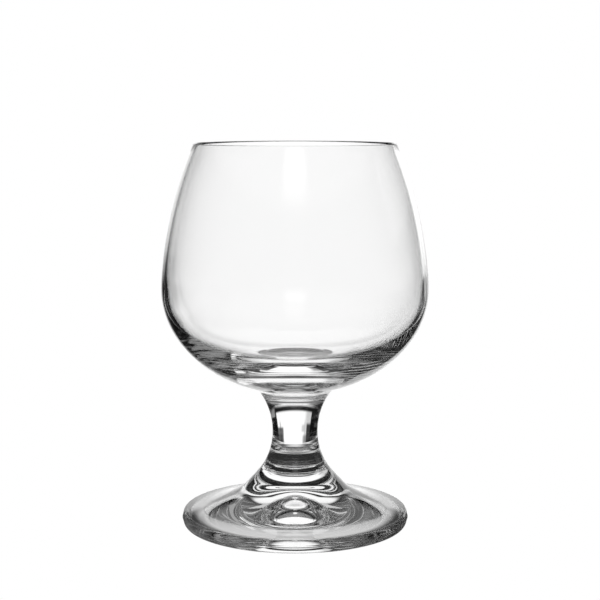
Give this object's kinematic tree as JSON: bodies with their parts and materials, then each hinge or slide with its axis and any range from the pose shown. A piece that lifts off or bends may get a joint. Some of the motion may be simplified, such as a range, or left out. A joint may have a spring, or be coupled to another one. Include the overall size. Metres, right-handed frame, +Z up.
{
  "type": "brandy snifter",
  "caption": "Short-stemmed clear glass brandy snifter: rounded bowl narrowing to the mouth, waisted solid stem and a round foot with a shallow conical hollow underneath.",
  "frame": {"origin": "centre of the foot's resting ring, at table level", "axes": "+Z up along the axis of the glass, from the foot to the mouth; the part is round about Z, so +X and +Y are free"},
  "size_m": [0.078, 0.078, 0.1124],
  "materials": {
    "bowl_glass": "clear, fire-polished",
    "stem_glass": "clear, drawn",
    "foot_glass": "clear, pressed and fire-polished"
  },
  "bodies": {
    "root": {"bowl": "bowl_glass", "stem": "stem_glass", "foot": "foot_glass"}
  },
  "joints": []
}
